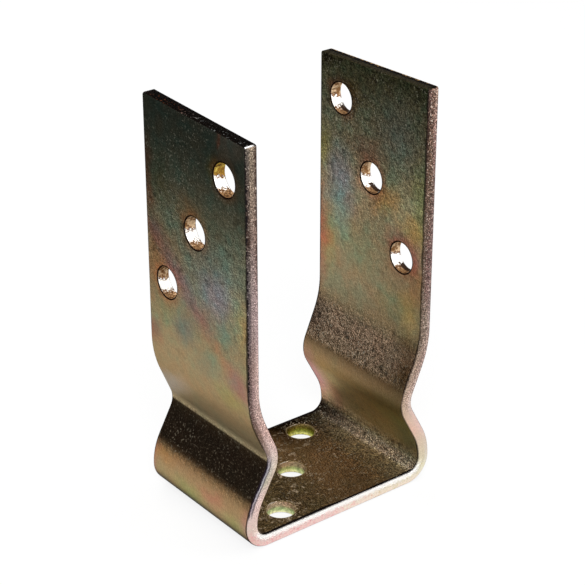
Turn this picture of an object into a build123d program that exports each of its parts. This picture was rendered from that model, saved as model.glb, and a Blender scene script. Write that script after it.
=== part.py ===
"""U bracket: one strip of steel bar bent cold into two upright wings on a short base.

The bracket stands on the underside of its base, with its origin at the middle of
that underside. X runs from wing to wing, Y along the bends and Z up the wings.
Each side swells out at a belly above the base, leans in to a neck and leans back out
to a wide shoulder, so that only the straight upper wings grip the post. The strip is
sheared a little out of square at both ends, and its holes are punched from outside.
Sizes are in millimetres and degrees.
"""

from math import cos, radians, sin
import os

from build123d import *

# Strip
strip_width = 60.0
thickness = 5.0

# Bent shape, with the clear widths taken between the inner faces
post_gap = 75.0
neck_gap = 58.5
belly_gap = 77.5
wing_height = 159.5
lower_lean = 28.5  # slant of the side from the belly in to the neck
upper_lean = 23.0  # slant from the neck back out to the shoulder

# Bend radii, each on the hollow side of its own bend
corner_radius = 5.0
belly_radius = 21.0
neck_radius = 8.0
shoulder_radius = 36.0

# Punched holes, three in a slanting row on each wing and on the base
wing_hole_diameter = 12.0
base_hole_diameter = 11.0
wing_row_drop = 42.5  # from the end of the wing down to the middle hole
wing_step_across = 18.0
wing_step_up = 26.0
base_step_x = 20.5
base_step_y = 20.0

# Marks of the shear and the punch
shear_error = 2.0  # angle of the strip's ends out of square
tip_radius = 1.0  # corners of the wing ends
shear_roll = 0.8  # edges of the strip on its outer face
punch_draw = 0.3  # rims of the holes on the outer face
burr_bevel = 0.25  # edges and rims on the inner face, with the burr taken off

# The neck is hollow on the outer face, so the inner face bends round on a larger radius
neck_inner_radius = neck_radius + thickness


def straight_run(sideways, lean, radii):
    """Length of the straight that, with the part bends at its ends, moves a face sideways."""
    taken_by_bends = (1 - cos(radians(lean))) * sum(radii)
    return (sideways - taken_by_bends) / sin(radians(lean))


lower_run = straight_run((belly_gap - neck_gap) / 2, lower_lean, (belly_radius, neck_inner_radius))
upper_run = straight_run((post_gap - neck_gap) / 2, upper_lean, (neck_inner_radius, shoulder_radius))

# One half of the inner face, drawn flat with its Y as the height. The wing runs on past
# its height by enough for the slanting cut.
shear_allowance = strip_width * sin(radians(shear_error))
with BuildLine() as inner_face:
    base = Line((0, thickness), (belly_gap / 2 - corner_radius, thickness))
    corner = JernArc(base @ 1, base % 1, corner_radius, 90)
    belly = JernArc(corner @ 1, corner % 1, belly_radius, lower_lean)
    lower = PolarLine(belly @ 1, lower_run, direction=belly % 1)
    neck = JernArc(lower @ 1, lower % 1, neck_inner_radius, -lower_lean - upper_lean)
    upper = PolarLine(neck @ 1, upper_run, direction=neck % 1)
    shoulder = JernArc(upper @ 1, upper % 1, shoulder_radius, upper_lean)
    wing = Line(shoulder @ 1, (post_gap / 2, wing_height + shear_allowance))


def depth(edge):
    """How far the middle of an edge lies from the inner face, through the strip."""
    middle = edge @ 0.5
    return inner_face.line.distance_to(Vertex(abs(middle.X), middle.Z))


def on_outer_face(edge):
    return depth(edge) > 0.75 * thickness


def on_inner_face(edge):
    return depth(edge) < 0.25 * thickness


def wing_plane(side, height):
    """Plane on the outer face of a wing, facing out, with its Y up the wing."""
    outer_x = side * (post_gap / 2 + thickness)
    return Plane(origin=(outer_x, 0, height), x_dir=(0, side, 0), z_dir=(side, 0, 0))


def slanting_row(across, up):
    """Places of three holes in line, the middle one at the origin."""
    return [(-across, -up), (0, 0), (across, up)]


with BuildPart() as u_bracket:
    # The bent strip
    with BuildSketch(Plane.XZ) as section:
        with BuildLine():
            add(inner_face.line)
            offset(amount=thickness, side=Side.RIGHT)
        make_face()
        mirror(about=Plane.YZ)
    extrude(amount=strip_width / 2, both=True)

    # Its ends are parallel in the flat, so the bent wings slope opposite ways
    for side in (-1, 1):
        with BuildSketch(wing_plane(side, wing_height)) as offcut:
            Rectangle(2 * strip_width, strip_width, -shear_error, align=(Align.CENTER, Align.MIN))
        extrude(amount=-2 * thickness, mode=Mode.SUBTRACT)
    tips = u_bracket.edges().filter_by(Axis.X).sort_by(Axis.Z)[-4:]
    fillet(tips, tip_radius)

    # Roll and bevel run on from the long edges round the tips and over the ends
    fillet(u_bracket.faces().filter_by(Axis.Y).edges().filter_by(on_outer_face), shear_roll)
    chamfer(u_bracket.faces().filter_by(Axis.Y).edges().filter_by(on_inner_face), burr_bevel)

    # Punched holes: the only edges that close on themselves are their rims
    with Locations((0, 0, thickness)):
        with Locations(*slanting_row(base_step_x, base_step_y)):
            Hole(base_hole_diameter / 2, thickness)
    for side in (-1, 1):
        with Locations(wing_plane(side, wing_height - wing_row_drop)):
            with Locations(*slanting_row(wing_step_across, wing_step_up)):
                Hole(wing_hole_diameter / 2, thickness)
    rims = u_bracket.edges().filter_by(lambda edge: edge.is_closed)
    chamfer(rims.filter_by(on_outer_face), punch_draw)
    rims = u_bracket.edges().filter_by(lambda edge: edge.is_closed)
    chamfer(rims.filter_by(on_inner_face), burr_bevel)

u_bracket.part.label = "u_bracket"
os.makedirs("parts", exist_ok=True)
export_step(u_bracket.part, "parts/u_bracket.step")
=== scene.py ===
from math import cos, pi, radians, sin

import bpy
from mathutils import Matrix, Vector

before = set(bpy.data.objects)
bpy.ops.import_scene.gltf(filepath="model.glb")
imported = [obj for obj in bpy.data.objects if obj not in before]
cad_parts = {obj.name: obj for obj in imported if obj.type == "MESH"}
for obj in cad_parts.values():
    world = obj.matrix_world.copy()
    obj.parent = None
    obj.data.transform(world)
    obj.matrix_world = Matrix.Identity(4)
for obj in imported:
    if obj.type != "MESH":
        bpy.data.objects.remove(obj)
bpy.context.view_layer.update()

MILLIMETRES = 1000.0  # in a metre, the unit of the scene

# The strip as the part's source has it, in millimetres
THICKNESS = 5.0
HALF_WIDTH = 30.0
WING_INNER = 37.5  # half the clear width between the wings
WING_END = 157.0  # just under the sheared ends
BASE_TOP = 5.0

# Bends of one side from the base up: centre across, centre up, radius of the inner face
# (negative where the bend is hollow outwards) and the height at which the bend ends
BENDS = [
    (33.75, 10.0, 5.0, 10.0),
    (17.75, 10.0, 21.0, 21.2),
    (42.25, 36.13, -13.0, 40.2),
    (1.5, 65.54, 36.0, 65.5),
]
# Straights of one side: a point of the inner face and the angle of the way out, above level
STRAIGHTS = [
    (30.83, 29.93, 28.5, 31.1),
    (34.64, 51.47, -23.0, 50.5),
]
WING_HOLE_RADIUS = 6.0
WING_HOLE_STEP = 26.0
MIDDLE_HOLE = 117.0
WING_HOLES = [(18.0, MIDDLE_HOLE + WING_HOLE_STEP), (0.0, MIDDLE_HOLE),
              (-18.0, MIDDLE_HOLE - WING_HOLE_STEP)]
BASE_HOLE_RADIUS = 5.5
BASE_HOLES = [(-20.5, -20.0), (0.0, 0.0), (20.5, 20.0)]
BASE_HOLES_END = 12.0  # holes below this height are the base's


def paint(red, green, blue):
    """A colour given in the 0 to 255 steps of a paint chart, as the renderer wants it."""
    def linear(step):
        value = step / 255
        return value / 12.92 if value <= 0.04045 else ((value + 0.055) / 1.055) ** 2.4
    return (linear(red), linear(green), linear(blue), 1.0)


class Tree:
    """A shader tree, and short ways to add to it. A value is a number, a colour or a socket."""

    def __init__(self, tree):
        self.tree = tree

    def put(self, socket, value):
        if isinstance(value, bpy.types.NodeSocket):
            self.tree.links.new(value, socket)
        else:
            socket.default_value = value

    def add(self, kind, values=None, **settings):
        node = self.tree.nodes.new(kind)
        for name, setting in settings.items():
            setattr(node, name, setting)
        for name, value in (values or {}).items():
            self.put(node.inputs[name], value)
        return node

    def math(self, operation, *values):
        node = self.add("ShaderNodeMath", operation=operation)
        for socket, value in zip(node.inputs, values):
            self.put(socket, value)
        return node.outputs[0]

    def times(self, *values):
        product = values[0]
        for value in values[1:]:
            product = self.math("MULTIPLY", product, value)
        return product

    def opposite(self, mask):
        """1 where the mask is 0 and 0 where it is 1."""
        return self.math("SUBTRACT", 1.0, mask)

    def vector(self, operation, *values):
        node = self.add("ShaderNodeVectorMath", operation=operation)
        for socket, value in zip(node.inputs, values):
            self.put(socket, value)
        gives_number = operation in {"LENGTH", "DISTANCE", "DOT_PRODUCT"}
        return node.outputs["Value" if gives_number else "Vector"]

    def split(self, vector):
        return self.add("ShaderNodeSeparateXYZ", {"Vector": vector}).outputs

    def join(self, x, y, z):
        return self.add("ShaderNodeCombineXYZ", {"X": x, "Y": y, "Z": z}).outputs[0]

    def fade(self, value, start, end, low=0.0, high=1.0):
        """Goes smoothly from low to high as the value goes from start to end."""
        return self.add(
            "ShaderNodeMapRange",
            {"Value": value, "From Min": start, "From Max": end, "To Min": low, "To Max": high},
            interpolation_type="SMOOTHSTEP",
        ).outputs["Result"]

    def mix(self, share, first, second):
        """First where the share is 0 and second where it is 1, as colours."""
        node = self.add("ShaderNodeMix", data_type="RGBA")
        self.put(node.inputs[0], share)
        self.put(node.inputs[6], first)
        self.put(node.inputs[7], second)
        return node.outputs[2]

    def blend(self, share, first, second):
        """First where the share is 0 and second where it is 1, as numbers."""
        node = self.add("ShaderNodeMix", data_type="FLOAT")
        self.put(node.inputs[0], share)
        self.put(node.inputs[2], first)
        self.put(node.inputs[3], second)
        return node.outputs[0]

    def scale(self, colour, amount):
        node = self.add("ShaderNodeVectorMath", operation="SCALE")
        self.put(node.inputs[0], colour)
        self.put(node.inputs[3], amount)
        return node.outputs["Vector"]

    def tint(self, share, colour, levels):
        """The colour, its red, green and blue times the levels where the share is 1."""
        return self.mix(share, colour, self.vector("MULTIPLY", colour, levels))

    def noise(self, vector, size, detail=2.0, roughness=0.5):
        """Noise from 0 to 1 whose lumps are about size across."""
        return self.add(
            "ShaderNodeTexNoise",
            {"Vector": vector, "Scale": 1 / size, "Detail": detail, "Roughness": roughness},
        ).outputs["Fac"]

    def ramp(self, value, stops):
        """Colour from a list of (place, colour) for a value from the first place to the last."""
        first, last = stops[0][0], stops[-1][0]
        share = self.math("DIVIDE", self.math("SUBTRACT", value, first), last - first)
        node = self.add("ShaderNodeValToRGB", {"Fac": share})
        elements = node.color_ramp.elements
        for place, colour in stops[1:-1]:
            elements.new((place - first) / (last - first)).color = colour
        elements[0].color, elements[-1].color = stops[0][1], stops[-1][1]
        return node.outputs["Color"]

    def tones(self, value, stops):
        """Paint chart colour from a list of (place, colour)."""
        return self.ramp(value, [(place, paint(*tone)) for place, tone in stops])

    def levels(self, value, stops):
        """Number from a list of (place, number)."""
        return self.ramp(value, [(place, (level, level, level, 1)) for place, level in stops])

    def place(self, group, values):
        node = self.add("ShaderNodeGroup", node_tree=group)
        for name, value in values.items():
            self.put(node.inputs[name], value)
        return node.outputs


def new_group(name, inputs, outputs):
    """An empty shader group and its ends. Sockets are given as name: kind."""
    group = bpy.data.node_groups.new(name, "ShaderNodeTree")
    for way, sockets in (("INPUT", inputs), ("OUTPUT", outputs)):
        for socket, kind in sockets.items():
            group.interface.new_socket(socket, in_out=way, socket_type="NodeSocket" + kind)
    tree = Tree(group)
    return group, tree, tree.add("NodeGroupInput").outputs, tree.add("NodeGroupOutput").inputs


def depth_in_strip(tree, outwards, height):
    """Depth from the inner face in millimetres, taken stretch by stretch from the base up."""
    section = tree.join(outwards, height, 0.0)
    stretches = []
    for centre_x, centre_z, radius, top in BENDS:
        from_centre = tree.vector("DISTANCE", section, (centre_x, centre_z, 0.0))
        in_bend = tree.math("SUBTRACT", from_centre, abs(radius))
        if radius < 0:
            in_bend = tree.times(in_bend, -1.0)
        stretches.append((top, in_bend))
    for start_x, start_z, slant, top in STRAIGHTS:
        way_out = (cos(radians(slant)), sin(radians(slant)), 0.0)
        offset = tree.vector("SUBTRACT", section, (start_x, start_z, 0.0))
        stretches.append((top, tree.vector("DOT_PRODUCT", offset, way_out)))
    stretches.sort(key=lambda stretch: stretch[0])

    depth = tree.math("SUBTRACT", outwards, WING_INNER)
    for top, below in reversed(stretches):
        depth = tree.blend(tree.math("LESS_THAN", height, top), depth, below)
    corner_x, corner_z = BENDS[0][:2]
    in_base = tree.times(tree.math("LESS_THAN", outwards, corner_x),
                         tree.math("LESS_THAN", height, corner_z))
    return tree.blend(in_base, depth, tree.math("SUBTRACT", THICKNESS, height))


def beyond_rim(tree, flat, holes, radius):
    """Distance outside the rim of the nearest hole, seen flat."""
    distances = [tree.vector("DISTANCE", flat, (*hole, 0.0)) for hole in holes]
    least = distances[0]
    for distance in distances[1:]:
        least = tree.math("MINIMUM", least, distance)
    return tree.math("SUBTRACT", least, radius)


def strip_place_group():
    """Where a point lies in the bent strip, and masks of the strip's main areas.

    The point, across, the height and the distance from a rim are in millimetres. Depth goes
    from 0 at the inner face to 1 at the outer one, and over hole is in hole radii.
    """
    group, tree, _, out = new_group(
        "Place in the strip",
        {},
        {"Point": "Vector", "Across": "Float", "Height": "Float", "Depth": "Float",
         "From rim": "Float", "Over hole": "Float",
         "On outer face": "Float", "On base": "Float", "On right": "Float"},
    )
    metres = tree.add("ShaderNodeTexCoord").outputs["Object"]
    point = tree.scale(metres, MILLIMETRES)
    x, y, height = tree.split(point)
    across = tree.times(y, tree.math("SIGN", x))
    in_strip = depth_in_strip(tree, tree.math("ABSOLUTE", x), height)
    depth = tree.math("DIVIDE", in_strip, THICKNESS)

    from_wing_hole = beyond_rim(tree, tree.join(across, height, 0.0), WING_HOLES, WING_HOLE_RADIUS)
    from_base_hole = beyond_rim(tree, tree.join(x, y, 0.0), BASE_HOLES, BASE_HOLE_RADIUS)
    low_down = tree.math("LESS_THAN", height, BASE_HOLES_END)
    nearest_row = tree.math("WRAP", height, MIDDLE_HOLE + WING_HOLE_STEP / 2,
                            MIDDLE_HOLE - WING_HOLE_STEP / 2)
    over_middle = tree.math("SUBTRACT", nearest_row, MIDDLE_HOLE)
    for name, value in {
        "Point": point, "Across": across, "Height": height, "Depth": depth,
        "From rim": tree.blend(low_down, from_wing_hole, from_base_hole),
        "Over hole": tree.math("DIVIDE", over_middle, WING_HOLE_RADIUS),
        "On outer face": tree.fade(depth, 0.45, 0.55),
        "On base": tree.fade(height, BASE_TOP + 0.9, BASE_TOP + 0.05),
        "On right": tree.fade(x, -5.0, 5.0),
    }.items():
        tree.put(out[name], value)
    return group


def soft_patch_group():
    """A soft oval patch on a face: 1 in its middle and 0 outside its reach."""
    group, tree, given, out = new_group(
        "Soft patch",
        {"Spot": "Vector", "Centre": "Vector", "Reach": "Vector", "Turn": "Float"},
        {"Mask": "Float"},
    )
    offset = tree.vector("SUBTRACT", given["Spot"], given["Centre"])
    turned = tree.add(
        "ShaderNodeVectorRotate",
        {"Vector": offset, "Angle": tree.times(given["Turn"], -pi / 180)},
        rotation_type="Z_AXIS",
    ).outputs[0]
    away = tree.vector("LENGTH", tree.vector("DIVIDE", turned, given["Reach"]))
    tree.put(out["Mask"], tree.fade(away, 1.0, 0.0))
    return group


def metal_grain_group():
    """Grain of a metal surface: grains, painted light and shade on their sides as if lit from one
    side, specks, pits and soft clouds.
    """
    group, tree, given, out = new_group(
        "Metal grain",
        {"Point": "Vector", "Size": "Float"},
        {"Grains": "Float", "Painted relief light": "Float", "Specks": "Float", "Pits": "Float",
         "Clouds": "Float"},
    )
    size = tree.join(given["Size"], given["Size"], given["Size"])
    point = tree.vector("DIVIDE", given["Point"], size)

    # Specks and pits are taken far from the grains, and the relief, a painted light and shade as
    # if lit from one side, from just beside them
    to_specks, to_pits, to_one_side = (40.0, 7.0, 3.0), (9.0, 60.0, 21.0), (0.0, 0.3, -0.4)
    grains = tree.noise(point, 1.0, roughness=0.7)
    beside = tree.noise(tree.vector("ADD", point, to_one_side), 1.0, roughness=0.7)
    specks = tree.noise(tree.vector("ADD", point, to_specks), 1.3, detail=1.0)
    pits = tree.noise(tree.vector("ADD", point, to_pits), 1.6, detail=1.0)
    tree.put(out["Grains"], tree.fade(grains, 0.28, 0.72))
    tree.put(out["Painted relief light"], tree.fade(tree.math("SUBTRACT", grains, beside), -0.25, 0.25))
    tree.put(out["Specks"], tree.fade(specks, 0.60, 0.72))
    tree.put(out["Pits"], tree.fade(pits, 0.40, 0.28))
    tree.put(out["Clouds"], tree.fade(tree.noise(point, 8.0, detail=3.0), 0.3, 0.7))
    return group


# Colour of the plating by height on each rolled face, with painted reflection and shade in it:
# darker towards the top, a dark painted reflection band under the neck outside, a painted shadow
# at the outer foot and a painted highlight on the inner bend by the base
OUTER_TONES = [
    (0, (32, 26, 20)), (4.4, (38, 31, 23)), (6.0, (112, 96, 72)), (7.8, (162, 142, 105)),
    (10, (172, 150, 110)), (16, (161, 131, 95)), (18.8, (132, 106, 75)),
    (21, (58, 45, 32)), (22.6, (35, 28, 21)), (31, (33, 26, 20)), (34.4, (42, 34, 25)),
    (35.7, (56, 46, 34)), (36.2, (154, 138, 108)), (45, (164, 144, 110)), (53, (176, 150, 112)),
    (62, (166, 145, 110)), (74, (154, 140, 107)), (86, (138, 127, 100)), (98, (122, 116, 93)),
    (110, (102, 99, 80)), (122, (84, 82, 66)), (134, (62, 64, 53)), (146, (46, 49, 42)),
    (160, (40, 42, 37)),
]
INNER_TONES = [
    (0, (108, 90, 62)), (5.1, (108, 90, 62)), (5.6, (125, 109, 90)), (6.5, (122, 107, 88)),
    (7.5, (121, 106, 86)), (8.7, (130, 117, 89)), (10, (151, 131, 97)), (11.5, (183, 160, 120)),
    (15, (204, 181, 135)), (20, (212, 186, 138)), (26, (208, 182, 130)), (30, (190, 162, 114)),
    (33, (166, 138, 94)), (36, (158, 132, 94)), (39, (132, 110, 80)), (41, (108, 88, 64)),
    (43, (97, 81, 64)), (49, (97, 80, 65)), (55, (112, 94, 76)), (60, (138, 122, 94)),
    (70, (152, 136, 106)), (85, (149, 134, 104)), (98, (144, 131, 102)), (110, (138, 128, 100)),
    (122, (108, 104, 82)), (134, (90, 86, 68)), (146, (70, 67, 51)), (160, (42, 42, 29)),
]

# How strong the grain is by height on each rolled face
OUTER_GRAIN = [(0, 0.25), (17, 0.3), (20, 0.9), (24, 0.6), (34, 0.7), (36.8, 0.9), (37.2, 0.2),
               (70, 0.3), (85, 0.6), (98, 1.1), (118, 1.2), (130, 0.9), (145, 0.6), (160, 0.5)]
INNER_GRAIN = [(0, 1.2), (5.1, 1.2), (5.8, 1.9), (9, 1.5), (13, 0.4), (40.5, 0.35),
               (42.5, 2.0), (54, 2.0), (62, 0.5), (80, 0.45), (105, 1.0), (125, 1.5),
               (160, 1.5)]

# Painted shade of the base's top from left to right, rising to a painted highlight by the right
# bend
BASE_SHADE = [(-36, 0.46), (-26, 0.46), (-18, 0.42), (-10, 0.39), (-2, 0.44), (6, 0.53),
              (14, 0.60), (20, 0.71), (25, 0.92), (30, 1.35), (33, 2.3), (36, 2.3)]

# How strong the grain is on the base's top from left to right
BASE_GRAIN = [(-36, 1.1), (-12, 1.1), (0, 0.6), (14, 0.5), (21, 1.0), (28, 1.3), (36, 1.3)]

# Blooms of the plating: middle across and up, reach along and over, turn, and tint
OUTER_BLOOMS = [
    ((-24, 97), (18, 26), 0, (1.06, 0.88, 0.78)),  # tan by the lowest hole
    ((-13, 98), (26, 8), -42, (0.99, 0.86, 1.02)),  # rose band down past it
    ((-25, 110), (9, 7), -40, (0.97, 0.87, 0.96)),
    ((2, 85), (13, 9), -35, (1.0, 0.89, 0.96)),
    ((13, 77), (15, 6), -40, (1.05, 0.94, 0.93)),
    ((25, 67), (14, 8), -30, (1.0, 0.86, 0.99)),
    ((10, 100), (26, 26), 0, (0.96, 1.02, 1.12)),  # blue above the band
    ((12, 97), (14, 13), 0, (1.06, 1.02, 1.17)),
    ((17, 85), (9, 9), 0, (0.88, 1.03, 1.08)),
    ((-14, 118), (12, 9), 0, (0.96, 1.03, 1.05)),
    ((-8, 76), (11, 10), 0, (0.84, 0.90, 1.02)),  # blue grey below the band
    ((-20, 79), (10, 9), 0, (0.94, 1.02, 1.0)),
    ((6, 68), (12, 9), 0, (0.90, 0.97, 1.02)),
    ((28, 90), (5, 20), 0, (1.06, 1.01, 0.93)),  # gold and brown by the edges
    ((-30, 130), (8, 30), 0, (1.0, 0.76, 0.72)),
    ((-20, 130), (9, 16), 0, (0.88, 0.90, 0.86)),
    ((-2, 123), (13, 10), 0, (1.20, 1.03, 0.93)),  # gold brown by the upper holes
    ((13, 145), (7, 7), 0, (1.24, 1.12, 0.86)),
    ((15, 157), (2, 6), 0, (1.25, 0.92, 0.86)),  # rust streak and grey at the top
    ((22, 157), (14, 8), 0, (1.32, 1.22, 1.22)),
    ((22, 112), (15, 24), 0, (1.06, 1.13, 1.16)),  # paler by the near edge
    ((26, 92), (10, 16), 0, (1.12, 1.10, 1.04)),
    ((-28, 68), (8, 8), 0, (0.92, 0.80, 0.86)),  # rose, green and grey down to the neck
    ((20, 60), (14, 8), 0, (0.98, 1.04, 0.94)),
    ((-26, 45), (24, 8), 25, (1.10, 1.16, 1.34)),
    ((-6, 8), (15, 7), 0, (0.95, 1.04, 0.94)),  # green, rose and orange on the belly
    ((8, 13), (11, 5), 0, (1.06, 0.92, 0.98)),
    ((-24, 17), (13, 5), 0, (1.07, 0.99, 0.90)),
    ((-30, 11), (5, 13), 0, (1.0, 0.85, 1.06)),
    ((22, 8), (9, 6), 0, (0.94, 1.03, 0.96)),
    ((29, 12), (4, 12), 0, (1.06, 0.96, 1.10)),
]
INNER_BLOOMS = [
    ((18, 108), (13, 26), 0, (0.93, 0.98, 1.26)),  # blue down the far side
    ((17, 93), (10, 14), 0, (0.96, 1.08, 1.06)),
    ((25, 84), (8, 20), 0, (1.06, 1.07, 0.95)),
    ((5, 84), (15, 18), 0, (0.95, 1.02, 1.01)),
    ((30, 86), (6, 34), 0, (1.09, 0.81, 0.86)),  # rust by the far edge
    ((26, 86), (6, 11), 0, (1.02, 0.90, 0.92)),
    ((19, 102), (9, 12), 0, (0.96, 1.05, 0.99)),  # green, olive and blue above it
    ((28, 122), (7, 14), 0, (1.04, 1.04, 0.86)),
    ((-14, 138), (18, 18), 0, (0.94, 1.0, 1.10)),
    ((-28, 118), (7, 24), 0, (1.0, 1.07, 0.96)),  # green by the near edge
    ((3, 127), (13, 9), 0, (1.04, 0.88, 0.90)),  # brown and rust about the holes
    ((-8, 111), (14, 9), -30, (1.06, 0.94, 0.80)),
    ((-24, 104), (12, 9), 0, (1.10, 0.99, 0.84)),
    ((-18, 97), (14, 7), 0, (1.02, 0.86, 0.92)),
    ((-27, 92), (7, 12), 0, (0.98, 0.80, 0.96)),
    ((-26, 83), (8, 12), 0, (1.07, 0.92, 0.86)),
    ((-23, 70), (9, 13), 0, (1.07, 1.09, 0.95)),  # paler and greener by the shoulder
    ((-25, 65), (10, 7), 0, (1.14, 1.11, 1.09)),
    ((-12, 70), (12, 12), 0, (0.97, 1.03, 1.0)),
    ((30, 26), (13, 16), 0, (1.08, 0.92, 1.26)),  # violet and dark rose on the belly
    ((30, 14), (8, 12), 0, (0.98, 0.86, 0.94)),
    ((19, 15), (9, 14), 0, (0.94, 0.84, 0.88)),
    ((-24, 15), (10, 14), 0, (0.82, 0.90, 0.94)),
    ((27, 158), (9, 7), 0, (0.72, 0.66, 0.66)),  # dark corner, brown and blue at the top
    ((13, 146), (8, 12), 0, (0.86, 0.80, 0.72)),
    ((-14, 150), (20, 12), 0, (1.04, 1.08, 1.12)),
    ((-20, 110), (18, 22), 0, (1.10, 1.13, 1.13)),  # paler about the lower holes
    ((4, 113), (11, 13), 0, (1.12, 1.08, 1.10)),
    ((-29, 92), (6, 16), 0, (1.12, 1.22, 1.12)),
    ((-26, 46), (9, 9), 0, (0.84, 0.82, 0.76)),  # dark ends of the neck, green under it
    ((-26, 26), (26, 17), 0, (0.93, 1.03, 1.0)),
    ((-30, 48), (9, 9), 0, (0.84, 0.80, 0.74)),
    ((30, 51), (13, 11), 0, (0.55, 0.52, 0.53)),
    ((-25, 57), (9, 8), 0, (0.84, 0.82, 0.78)),
]
BLOOM_DRIFT = 9.0  # how crooked the blooms lie
TINT_POWER = 2.2  # from a tint of the paint chart to one of light

# Changes of the plating's red, green and blue
TEAL_TO_ROSE = [(0.32, (0.86, 1.05, 1.08, 1)), (0.46, (0.98, 1.01, 1.01, 1)),
                (0.54, (1.02, 0.99, 0.98, 1)), (0.68, (1.09, 0.97, 0.92, 1))]
BASE_BROWN = (1.08, 0.94, 0.90)
# grey of the painted highlight by the base's right bend
HIGHLIGHT_GREY = (0.90, 1.05, 1.35)
INNER_HALO = (1.02, 0.66, 0.66, 1)
OUTER_HALO = (1.35, 0.90, 0.78, 1)

# Colours laid over the plating
FACE_CONTRAST = 7.0
PIT = paint(24, 22, 18)
PALE_SPECK = paint(172, 168, 150)
# painted highlight on the lit grain at the neck
NECK_GRAIN_HIGHLIGHT = paint(166, 150, 132)
UNDER_NECK_SPECK = paint(116, 104, 86)
BASE_FLECK = paint(150, 134, 112)
WING_RIM = paint(26, 17, 15)
BASE_RIM = paint(112, 96, 66)
TORN_RIM = paint(206, 182, 158)
LONG_EDGE = paint(26, 21, 20)


def plating_with_painted_light(tree, here):
    """Bands of colour up both rolled faces, with painted reflection, shade and highlights in them,
    and crooked blooms over them.
    """
    cloud = tree.add("ShaderNodeTexNoise", {"Vector": here["Point"], "Scale": 0.12,
                                            "Detail": 4.0, "Roughness": 0.6}).outputs["Color"]
    drift = tree.scale(tree.vector("SUBTRACT", cloud, (0.5, 0.5, 0.5)), BLOOM_DRIFT)
    spot = tree.vector("ADD", tree.join(here["Across"], here["Height"], 0.0), drift)
    spot = tree.vector("MULTIPLY", spot, (1.0, 1.0, 0.0))
    patch = soft_patch_group()

    def face(tones, blooms):
        colour = tree.tones(here["Height"], tones)
        for centre, reach, turn, tint in blooms:
            mask = tree.place(patch, {"Spot": spot, "Centre": (*centre, 0.0),
                                      "Reach": (*reach, 1.0), "Turn": turn})["Mask"]
            colour = tree.tint(mask, colour, [level ** TINT_POWER for level in tint])
        return colour

    return tree.mix(here["On outer face"], face(INNER_TONES, INNER_BLOOMS),
                    face(OUTER_TONES, OUTER_BLOOMS))


def shade_inside(tree, here):
    """Painted shade low down inside: darker to the left and the back of the base, and by its
    bends, with a painted highlight along the right one.
    """
    x, y, _ = tree.split(here["Point"])
    behind = tree.blend(tree.fade(x, 0.0, 16.0), tree.fade(y, 34.0, 16.0, 0.3, 1.0),
                        tree.fade(y, 30.0, -6.0, 0.07, 1.0))
    shade = tree.times(behind, tree.blend(here["On base"], 1.0, tree.levels(x, BASE_SHADE)))
    shade = tree.blend(tree.fade(here["Height"], 7.5, 11.0), shade, 1.0)
    return tree.blend(here["On outer face"], shade, 1.0)


def wandering_hue(tree, here, colour):
    """The plating's hue wanders from teal to rose gold, most on the wings."""
    x, _, _ = tree.split(here["Point"])
    wander = tree.noise(here["Point"], 7.0, detail=2.5, roughness=0.55)
    on_wings = tree.fade(here["Height"], 50.0, 75.0, 0.35, 1.0)
    colour = tree.tint(on_wings, colour, tree.ramp(wander, TEAL_TO_ROSE))

    # Browner over the middle of the base, and greyer towards its right, in the painted highlight
    # by the bend
    middle = tree.times(here["On base"], tree.fade(x, 30.0, 20.0), tree.fade(x, -8.0, 8.0))
    colour = tree.tint(middle, colour, BASE_BROWN)
    in_bend_highlight = tree.times(here["On base"], tree.fade(x, 22.0, 34.0),
                               tree.blend(here["On outer face"], 0.7, 0.0))
    return tree.tint(in_bend_highlight, colour, HIGHLIGHT_GREY)


def grain_strength(tree, here, at_neck):
    """How strong the grain is on the rolled faces, calmer at the near end of the neck."""
    x, _, _ = tree.split(here["Point"])
    by_height = tree.blend(here["On outer face"], tree.levels(here["Height"], INNER_GRAIN),
                           tree.levels(here["Height"], OUTER_GRAIN))
    base_top = tree.blend(here["On base"], 1.0, tree.levels(x, BASE_GRAIN))
    near_end = tree.fade(here["Across"], -28.0, -8.0, 0.6, 1.0)
    return tree.times(by_height, tree.blend(here["On outer face"], base_top, 1.0),
                      tree.blend(at_neck, 1.0, near_end))


def neck_and_base_specks(tree, here, colour, fine, broad):
    """Specks in the dark band outside under the neck, and flecks on the base."""
    x, _, _ = tree.split(here["Point"])
    height = here["Height"]
    under_neck = tree.times(tree.fade(height, 20.0, 22.0), tree.fade(height, 37.0, 24.0, 0.1, 0.4),
                            here["On outer face"], tree.fade(height, 37.0, 36.0))
    colour = tree.mix(tree.times(fine["Specks"], under_neck), colour, UNDER_NECK_SPECK)
    flecks = tree.times(broad["Specks"], fine["Grains"], here["On base"],
                        tree.fade(x, 14.0, -6.0, 0.5, 1.0))
    return tree.mix(flecks, colour, BASE_FLECK)


def hole_rims(tree, here, colour, fine):
    """Dark line round the wing holes, and paler torn rims round those of the base."""
    from_rim, on_base = here["From rim"], here["On base"]
    line = tree.times(tree.fade(from_rim, 0.75, 0.45), tree.blend(on_base, 1.0, 0.7))
    colour = tree.mix(line, colour, tree.mix(on_base, WING_RIM, BASE_RIM))
    torn = tree.times(tree.fade(from_rim, 3.2, 0.6), on_base, fine["Specks"], 0.6)
    return tree.mix(torn, colour, TORN_RIM)


def long_edges(tree, here, colour, clouds):
    """Ragged dark line along the strip's long edges, wider on the base."""
    _, y, _ = tree.split(here["Point"])
    from_edge = tree.math("SUBTRACT", HALF_WIDTH, tree.math("ABSOLUTE", y))
    ragged = tree.math("ADD", from_edge, tree.blend(clouds, -0.3, 0.3))
    widened = tree.math("SUBTRACT", ragged, tree.blend(here["On base"], 0.0, 0.8))
    line = tree.times(tree.fade(widened, 0.8, 0.45), tree.blend(here["On base"], 0.85, 1.0))
    return tree.mix(line, colour, LONG_EDGE)


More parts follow.
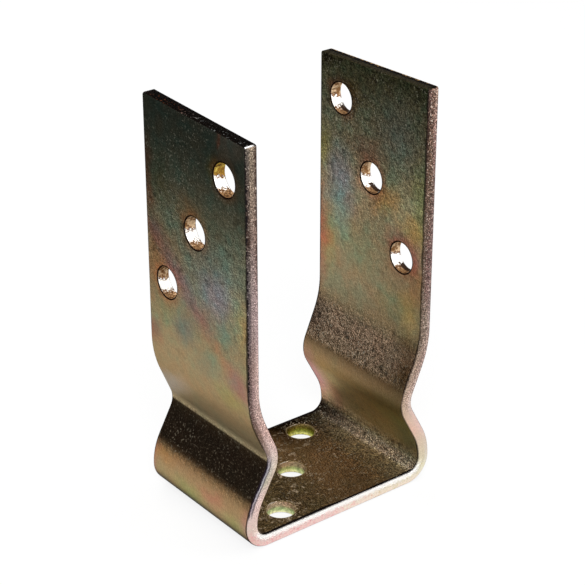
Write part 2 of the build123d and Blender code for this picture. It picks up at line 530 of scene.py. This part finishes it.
def rolled_faces(tree, here, grain):
    """Colour and relief of the plating on the strip's two rolled faces."""
    height, outer_face = here["Height"], here["On outer face"]
    fine, broad, clouds = grain(0.6), grain(2.0), grain(1.5)["Clouds"]
    at_neck = tree.times(tree.fade(height, 38.0, 43.0), tree.fade(height, 62.0, 54.0),
                         tree.opposite(outer_face))
    strength = grain_strength(tree, here, at_neck)

    # Purple brown about the wing holes, over the plating with its painted reflection, shade and
    # highlights
    colour = tree.scale(plating_with_painted_light(tree, here), shade_inside(tree, here))
    colour = wandering_hue(tree, here, colour)
    halo = tree.times(tree.fade(here["From rim"], 4.5, 0.5), tree.blend(clouds, 0.25, 1.0),
                      tree.opposite(here["On base"]))
    colour = tree.tint(halo, colour, tree.mix(outer_face, INNER_HALO, OUTER_HALO))

    # Grain with painted light and shade as if lit from one side, then pits and specks, and painted
    # highlights on the lit grain at the neck
    painted_side_light = tree.blend(0.35, fine["Painted relief light"], broad["Painted relief light"])
    relief = tree.blend(0.5, tree.blend(0.15, fine["Grains"], broad["Grains"]), painted_side_light)
    relief = tree.times(tree.math("SUBTRACT", relief, 0.5), strength)
    colour = tree.scale(colour, tree.math("POWER", FACE_CONTRAST, relief))
    colour = tree.mix(tree.times(broad["Pits"], strength, 0.35), colour, PIT)
    specks = tree.times(fine["Specks"], broad["Clouds"], strength, 0.35)
    colour = tree.mix(specks, colour, PALE_SPECK)
    crust = tree.times(at_neck, tree.fade(relief, 0.1, 0.6),
                       tree.fade(here["Across"], -26.0, -4.0), 0.4)
    colour = tree.mix(crust, colour, NECK_GRAIN_HIGHLIGHT)

    colour = neck_and_base_specks(tree, here, colour, fine, broad)
    colour = hole_rims(tree, here, colour, fine)
    colour = long_edges(tree, here, colour, clouds)
    return colour, tree.times(fine["Grains"], strength)


# Colour of each side's sheared edge: height, then outer corner, midway and inner corner; palest
# low down as a painted reflection of the white floor, and darker upwards
LEFT_EDGE = [
    (0, (244, 214, 208), (246, 216, 210), (246, 218, 212)),
    (5, (226, 190, 178), (228, 194, 184), (230, 202, 190)),
    (10, (222, 202, 190), (222, 202, 190), (226, 204, 192)),
    (14, (222, 200, 192), (222, 198, 190), (224, 196, 186)),
    (18, (170, 152, 158), (224, 196, 190), (228, 198, 188)),
    (23, (176, 168, 176), (222, 198, 192), (216, 192, 180)),
    (27, (172, 170, 172), (192, 184, 164), (198, 182, 164)),
    (33, (170, 166, 172), (206, 194, 182), (218, 200, 182)),
    (39, (160, 138, 130), (206, 184, 176), (210, 184, 176)),
    (48, (126, 102, 90), (182, 152, 144), (198, 166, 156)),
    (55, (114, 92, 86), (170, 144, 136), (190, 162, 154)),
    (66, (100, 82, 78), (156, 130, 126), (194, 166, 158)),
    (76, (110, 90, 86), (148, 124, 116), (192, 164, 156)),
    (88, (98, 86, 86), (148, 128, 124), (176, 152, 150)),
    (100, (92, 82, 82), (146, 128, 126), (162, 140, 138)),
    (112, (84, 76, 74), (138, 122, 118), (138, 116, 112)),
    (124, (64, 50, 44), (116, 98, 90), (116, 96, 88)),
    (142, (82, 70, 64), (126, 110, 96), (116, 100, 90)),
    (158, (94, 86, 78), (126, 112, 96), (106, 92, 80)),
]
RIGHT_EDGE = [
    (0, (246, 226, 212), (246, 226, 212), (246, 226, 212)),
    (5, (234, 230, 206), (226, 220, 196), (226, 218, 198)),
    (10, (220, 210, 196), (214, 202, 176), (216, 204, 176)),
    (17, (218, 200, 182), (218, 198, 176), (218, 196, 174)),
    (24, (230, 198, 188), (224, 190, 174), (224, 186, 168)),
    (29, (224, 194, 182), (216, 190, 172), (214, 184, 162)),
    (34, (208, 186, 176), (196, 170, 152), (192, 168, 146)),
    (39, (192, 170, 160), (178, 152, 138), (162, 140, 122)),
    (46, (174, 152, 142), (154, 132, 118), (154, 134, 118)),
    (52, (164, 140, 132), (150, 128, 116), (150, 130, 114)),
    (60, (152, 132, 122), (138, 120, 108), (116, 100, 86)),
    (70, (148, 130, 124), (120, 104, 92), (114, 98, 86)),
    (82, (116, 96, 92), (116, 92, 86), (100, 84, 72)),
    (94, (110, 88, 84), (94, 72, 68), (84, 68, 58)),
    (106, (106, 86, 82), (94, 74, 66), (100, 84, 72)),
    (124, (102, 82, 74), (86, 70, 58), (86, 68, 58)),
    (142, (124, 98, 92), (94, 74, 64), (78, 62, 52)),
    (158, (136, 112, 100), (100, 80, 70), (88, 68, 62)),
]

# How strong the edges' torn grain is by height, and the line on the left one's outer corner
LEFT_EDGE_GRAIN = [(0, 0.2), (12, 0.2), (18, 0.7), (34, 0.7), (42, 0.8), (60, 1.3), (80, 1.1),
                   (110, 1.5), (160, 1.8)]
RIGHT_EDGE_GRAIN = [(0, 0.2), (31, 0.2), (35, 0.9), (39, 1.6), (70, 2.0), (110, 2.4), (160, 2.8)]
LEFT_LINE = [(0, 0), (12, 0), (16, 1), (34, 1), (38, 0.3), (54, 0.35), (62, 1), (160, 1)]

# Colours laid over the sheared edges
EDGE_CONTRAST = 5.0
EDGE_SPECK = paint(240, 222, 206)
SEAM_GREY = paint(80, 76, 78)
LOW_LEFT_LINE = paint(34, 28, 40)
HIGH_LEFT_LINE = paint(30, 26, 28)
RIGHT_LINE = paint(96, 66, 70)
INNER_LINE = paint(58, 42, 38)
# painted highlight along the base's front edge
BASE_EDGE_HIGHLIGHT = paint(255, 252, 248)
ROSE_DOT = paint(234, 166, 168)
STRAW_DOT = paint(224, 212, 172)


def edge_tone(tree, here, rows):
    """Colour of one side's sheared edge, from its table of heights and three colours."""
    outer, middle, inner = [tree.tones(here["Height"], [(row[0], row[place]) for row in rows])
                            for place in (1, 2, 3)]
    tone = tree.mix(tree.fade(here["Depth"], 0.15, 0.45), inner, middle)
    return tree.mix(tree.fade(here["Depth"], 0.52, 0.76), tone, outer)


def corner_lines(tree, here, colour, ragged):
    """Dark lines along the outer corners of the edges, and along the inner ones high up."""
    height, on_right = here["Height"], here["On right"]

    # From belly to neck the left line is wider, with a grey seam beside it
    pinched = tree.times(tree.fade(height, 13.0, 17.0), tree.fade(height, 37.0, 33.0))
    from_seam = tree.math("ABSOLUTE", tree.math("SUBTRACT", ragged, 0.65))
    seam = tree.times(tree.fade(from_seam, 0.10, 0.03), pinched, tree.blend(on_right, 0.75, 0.0))
    colour = tree.mix(seam, colour, SEAM_GREY)

    start = tree.blend(on_right, tree.blend(pinched, 0.86, 0.81), 0.92)
    strength = tree.blend(on_right, tree.levels(height, LEFT_LINE), tree.fade(height, 8.0, 16.0))
    outer_line = tree.times(tree.fade(tree.math("SUBTRACT", ragged, start), 0.0, 0.08), strength)
    left_line = tree.mix(tree.fade(height, 36.0, 50.0), LOW_LEFT_LINE, HIGH_LEFT_LINE)
    colour = tree.mix(outer_line, colour, tree.mix(on_right, left_line, RIGHT_LINE))

    inner_line = tree.times(tree.fade(ragged, 0.20, 0.08), tree.fade(height, 90.0, 125.0), 0.8)
    return tree.mix(inner_line, colour, INNER_LINE)


def base_front(tree, here, grain, colour, ragged):
    """Painted highlight along the top of the base's edge, and dots of rose and straw under it."""
    x, _, _ = tree.split(here["Point"])
    height = here["Height"]
    band = tree.times(tree.fade(ragged, 0.62, 0.18), tree.fade(height, 9.0, 5.0))
    colour = tree.mix(band, colour, BASE_EDGE_HIGHLIGHT)
    crumbs = grain(0.8)
    dots = tree.math("MAXIMUM", crumbs["Pits"],
                     tree.times(tree.fade(crumbs["Grains"], 0.5, 0.85), 0.55))
    dots = tree.times(dots, tree.fade(height, 16.0, 6.0), tree.fade(here["Depth"], 0.2, 0.5))
    return tree.mix(dots, colour, tree.mix(tree.fade(x, 8.0, 24.0), ROSE_DOT, STRAW_DOT))


def sheared_edges(tree, here, grain):
    """Torn grain along the strip's edges, with lines at their corners."""
    height, on_right = here["Height"], here["On right"]
    torn, broad = grain(0.5), grain(1.6)
    tone = tree.mix(on_right, edge_tone(tree, here, LEFT_EDGE), edge_tone(tree, here, RIGHT_EDGE))
    strength = tree.blend(on_right, tree.levels(height, LEFT_EDGE_GRAIN),
                          tree.levels(height, RIGHT_EDGE_GRAIN))
    relief = tree.math("SUBTRACT", tree.blend(0.2, torn["Grains"], broad["Grains"]), 0.5)
    colour = tree.scale(tone, tree.math("POWER", EDGE_CONTRAST, tree.times(relief, strength)))
    colour = tree.mix(tree.times(torn["Specks"], strength, 0.25), colour, EDGE_SPECK)

    wobble = tree.times(tree.blend(broad["Grains"], -0.12, 0.12),
                        tree.fade(height, 36.0, 60.0, 0.35, 1.0))
    ragged = tree.math("ADD", here["Depth"], wobble)
    colour = corner_lines(tree, here, colour, ragged)
    return base_front(tree, here, grain, colour, ragged)


END_BLACK, END_GRAIN = paint(10, 9, 9), paint(40, 34, 30)
GREY_BURR, RUST_BURR = paint(112, 114, 112), paint(96, 60, 44)
DARK_OLIVE, PALE_OLIVE = paint(16, 16, 11), paint(62, 56, 42)
TAN_CRUST = paint(176, 142, 98)
# painted glint on the left wing's rounded near tip
LEFT_TIP_GLINT = paint(255, 252, 250)


def wing_ends(tree, here, grain):
    """Near black ends of the wings, with torn metal catching the light along one side."""
    depth = here["Depth"]
    _, y, _ = tree.split(here["Point"])
    torn, broad = grain(0.7), grain(1.6)
    dark = tree.mix(tree.times(torn["Grains"], 0.5), END_BLACK, END_GRAIN)

    burr = tree.times(torn["Specks"], tree.fade(depth, 0.25, 0.6), 0.6)
    left = tree.mix(burr, dark, tree.mix(tree.fade(y, -6.0, 14.0), GREY_BURR, RUST_BURR))

    olive = tree.mix(torn["Grains"], DARK_OLIVE, PALE_OLIVE)
    right = tree.mix(tree.fade(depth, 0.35, 0.6), olive, dark)
    ragged = tree.math("ADD", depth, tree.blend(broad["Grains"], -0.15, 0.15))
    crust = tree.times(tree.fade(ragged, 0.76, 0.9), tree.fade(torn["Grains"], 0.25, 0.6))
    right = tree.mix(crust, right, TAN_CRUST)
    return tree.mix(here["On right"], left, right)


# white of a painted reflection on the wing hole walls
WALL_REFLECTION_WHITE = paint(255, 253, 248)
DARK_BRONZE, PALE_BRONZE = paint(142, 104, 68), paint(226, 198, 162)
DARK_GOLD, PALE_GOLD = paint(166, 126, 54), paint(230, 204, 104)
WALL_BORDER = paint(104, 66, 46)
WALL_PIT = paint(110, 80, 56)
DARK_BROWN, PALE_BROWN = paint(84, 52, 36), paint(196, 156, 112)
TONGUE_BROWN = paint(58, 44, 36)


def wing_hole_walls(tree, here, grain):
    """Walls of the wing holes: gold brown above, white as painted reflection under that and brown
    at the bottom.
    """
    over, on_right = here["Over hole"], here["On right"]
    spots, patches = grain(0.9), tree.fade(grain(2.2)["Grains"], 0.25, 0.75)

    # The borders of the colours wander, and rise or fall from one face to the other
    rightwards = tree.blend(on_right, tree.opposite(here["Depth"]), here["Depth"])
    wandering = tree.math("ADD", over, tree.blend(spots["Grains"], -0.14, 0.14))
    upper = tree.math("ADD", wandering, tree.times(rightwards, 0.3))
    lower = tree.math("ADD", wandering, tree.times(rightwards, 0.12))

    # Gold in the left wing's highest hole and bronze in the others
    highest = tree.fade(here["Height"], MIDDLE_HOLE + 14.0, MIDDLE_HOLE + 16.0)
    top = tree.mix(tree.times(highest, tree.opposite(on_right)),
                   tree.mix(patches, DARK_BRONZE, PALE_BRONZE),
                   tree.mix(patches, DARK_GOLD, PALE_GOLD))
    top = tree.mix(tree.fade(upper, 0.10, -0.04), top, WALL_BORDER)
    colour = tree.mix(tree.fade(upper, -0.12, -0.02), WALL_REFLECTION_WHITE, top)
    colour = tree.mix(tree.times(spots["Pits"], tree.fade(over, -0.5, -0.2)), colour, WALL_PIT)

    # The brown has a darker tongue on the right wing, which reaches further up
    tongue = tree.times(tree.fade(rightwards, 0.45, 0.6), on_right)
    brown = tree.mix(tongue, tree.mix(spots["Grains"], DARK_BROWN, PALE_BROWN), TONGUE_BROWN)
    lower = tree.math("SUBTRACT", lower, tree.times(tongue, 0.14))
    return tree.mix(tree.fade(lower, -0.68, -0.82), colour, brown)


# Colour of the base holes' walls by depth, at the back hole and at the front one
BACK_WALL = [(0, (122, 108, 66)), (0.3, (104, 92, 36)), (0.6, (132, 136, 52)),
             (0.8, (206, 208, 120)), (1, (196, 190, 110))]
FRONT_WALL = [(0, (178, 158, 134)), (0.35, (180, 162, 134)), (0.6, (160, 178, 124)),
              (0.85, (214, 226, 170)), (1, (236, 222, 190))]
WALL_ROSE = (1.25, 0.92, 0.95)
WALL_CONTRAST = 2.2


def base_hole_walls(tree, here, grain):
    """Walls of the base holes: olive at the back one, pale green and pink at the front."""
    _, y, _ = tree.split(here["Point"])
    spots = grain(1.2)
    colour = tree.mix(tree.fade(y, 18.0, -6.0), tree.tones(here["Depth"], BACK_WALL),
                      tree.tones(here["Depth"], FRONT_WALL))
    colour = tree.tint(tree.times(spots["Clouds"], 0.6), colour, WALL_ROSE)
    relief = tree.math("SUBTRACT", spots["Grains"], 0.5)
    return tree.scale(colour, tree.math("POWER", WALL_CONTRAST, relief))


def zinc_steel():
    """Steel strip under yellow passivated zinc, with its sheared edges and punched walls."""
    material = bpy.data.materials.new("Yellow zinc steel")
    material.use_nodes = True
    material.node_tree.nodes.clear()
    tree = Tree(material.node_tree)
    here = tree.place(strip_place_group(), {})
    metal_grain = metal_grain_group()

    def grain(size):
        """The metal's grain at a size in millimetres."""
        return tree.place(metal_grain, {"Point": here["Point"], "Size": size})

    # Which kind of surface a point is on, from where it is and which way it faces
    normal = tree.split(tree.add("ShaderNodeNewGeometry").outputs["Normal"])
    facing_side = tree.math("ABSOLUTE", normal[1])
    on_end = tree.times(tree.fade(normal[2], 0.5, 0.8),
                        tree.math("GREATER_THAN", here["Height"], WING_END))
    # Painted glint on the left wing's near tip corner
    tip_glint = tree.times(on_end, tree.fade(facing_side, 0.25, 0.5),
                          tree.opposite(here["On right"]), tree.fade(here["Depth"], 0.1, 0.4))
    in_hole = tree.fade(here["From rim"], 0.06, 0.02)
    in_base = tree.math("LESS_THAN", here["Height"], BASE_TOP + 1.0)

    plated, relief = rolled_faces(tree, here, grain)
    colour = tree.mix(tree.fade(facing_side, 0.6, 0.9), plated, sheared_edges(tree, here, grain))
    colour = tree.mix(on_end, colour, wing_ends(tree, here, grain))
    colour = tree.mix(tip_glint, colour, LEFT_TIP_GLINT)
    walls = tree.mix(in_base, wing_hole_walls(tree, here, grain),
                     base_hole_walls(tree, here, grain))
    colour = tree.mix(in_hole, colour, walls)

    bump = tree.add("ShaderNodeBump", {"Strength": 0.6, "Distance": 0.0003,
                                       "Height": relief}).outputs[0]
    steel = tree.add("ShaderNodeBsdfPrincipled",
                     {"Base Color": colour, "Metallic": 1.0, "Roughness": 0.42,
                      "Specular Tint": (0.4, 0.4, 0.4, 1), "Normal": bump})
    surface = tree.add("ShaderNodeOutputMaterial")
    tree.put(surface.inputs["Surface"], steel.outputs[0])
    return material


def shine_mask(tree):
    """1 on rays from the camera and on those that metal or glass sends on."""
    light_path = tree.add("ShaderNodeLightPath").outputs
    mask = light_path["Is Camera Ray"]
    for ray in ("Is Glossy Ray", "Is Transmission Ray"):
        mask = tree.math("MAXIMUM", mask, light_path[ray])
    return mask


def white_surroundings():
    """Surroundings that look and mirror white, and light the bracket more softly."""
    soft_light, plain_white = 0.55, 1.0
    world = bpy.data.worlds.new("White room")
    world.use_nodes = True
    world.node_tree.nodes.clear()
    tree = Tree(world.node_tree)
    strength = tree.blend(shine_mask(tree), soft_light, plain_white)
    backdrop = tree.add("ShaderNodeBackground", {"Color": (1, 1, 1, 1), "Strength": strength})
    tree.put(tree.add("ShaderNodeOutputWorld").inputs["Surface"], backdrop.outputs[0])
    bpy.context.scene.world = world


def white_floor_finish():
    """Matt white that also glows where it is seen, so that shadows on it stay faint."""
    glow_share = 0.85
    white = bpy.data.materials.new("White floor")
    white.use_nodes = True
    white.node_tree.nodes.clear()
    tree = Tree(white.node_tree)
    matt = tree.add("ShaderNodeBsdfDiffuse", {"Color": (0.8, 0.8, 0.8, 1)})
    glow = tree.add("ShaderNodeEmission", {"Color": (1, 1, 1, 1), "Strength": 1.0})
    share = tree.times(shine_mask(tree), glow_share)
    both = tree.add("ShaderNodeMixShader", {"Fac": share})
    tree.put(both.inputs[1], matt.outputs[0])
    tree.put(both.inputs[2], glow.outputs[0])
    tree.put(tree.add("ShaderNodeOutputMaterial").inputs["Surface"], both.outputs[0])
    return white


def lay_floor():
    """Wide white floor, just under the base."""
    reach, level = 3.0, -0.0002
    corners = [(-reach, -reach, level), (reach, -reach, level),
               (reach, reach, level), (-reach, reach, level)]
    mesh = bpy.data.meshes.new("Floor")
    mesh.from_pydata(corners, [], [(0, 1, 2, 3)])
    floor = bpy.data.objects.new("Floor", mesh)
    bpy.context.scene.collection.objects.link(floor)
    mesh.materials.append(white_floor_finish())


# Soft lamps, all turned to the middle of the bracket: name, place, width and power
LIT_MIDDLE = Vector((0, 0, 0.07))
LAMPS = [
    ("Key", (-0.55, -0.75, 0.95), 0.6, 14.0),
    ("Fill", (0.9, -0.6, 0.5), 0.8, 6.0),
    ("Back", (0.2, 0.9, 0.9), 0.6, 6.0),
]


def hang_lamps():
    """Key lamp from the front left, a weaker fill from the right and one from behind."""
    for name, place, width, power in LAMPS:
        light = bpy.data.lights.new(name, "AREA")
        light.size = width
        light.energy = power
        lamp = bpy.data.objects.new(name, light)
        lamp.location = place
        lamp.rotation_euler = (LIT_MIDDLE - Vector(place)).to_track_quat("-Z", "Y").to_euler()
        bpy.context.scene.collection.objects.link(lamp)


def make_camera():
    """Long lens from above, in front and to the left."""
    aim, distance = Vector((0.0019, 0.0016, 0.0799)), 0.6846
    azimuth, elevation = radians(-37.99), radians(26.53)
    back = Vector((sin(azimuth) * cos(elevation), -cos(azimuth) * cos(elevation),
                   sin(elevation)))
    camera = bpy.data.cameras.new("Camera")
    camera.lens = 114.11
    camera.sensor_width = 36.0
    camera.clip_start, camera.clip_end = 0.01, 20.0
    holder = bpy.data.objects.new("Camera", camera)
    holder.location = aim + back * distance
    holder.rotation_euler = (-back).to_track_quat("-Z", "Y").to_euler()
    bpy.context.scene.collection.objects.link(holder)
    bpy.context.scene.camera = holder


bpy.context.scene.view_settings.view_transform = "Standard"
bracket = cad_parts["u_bracket"]
bracket.data.materials.clear()
bracket.data.materials.append(zinc_steel())
white_surroundings()
lay_floor()
hang_lamps()
make_camera()
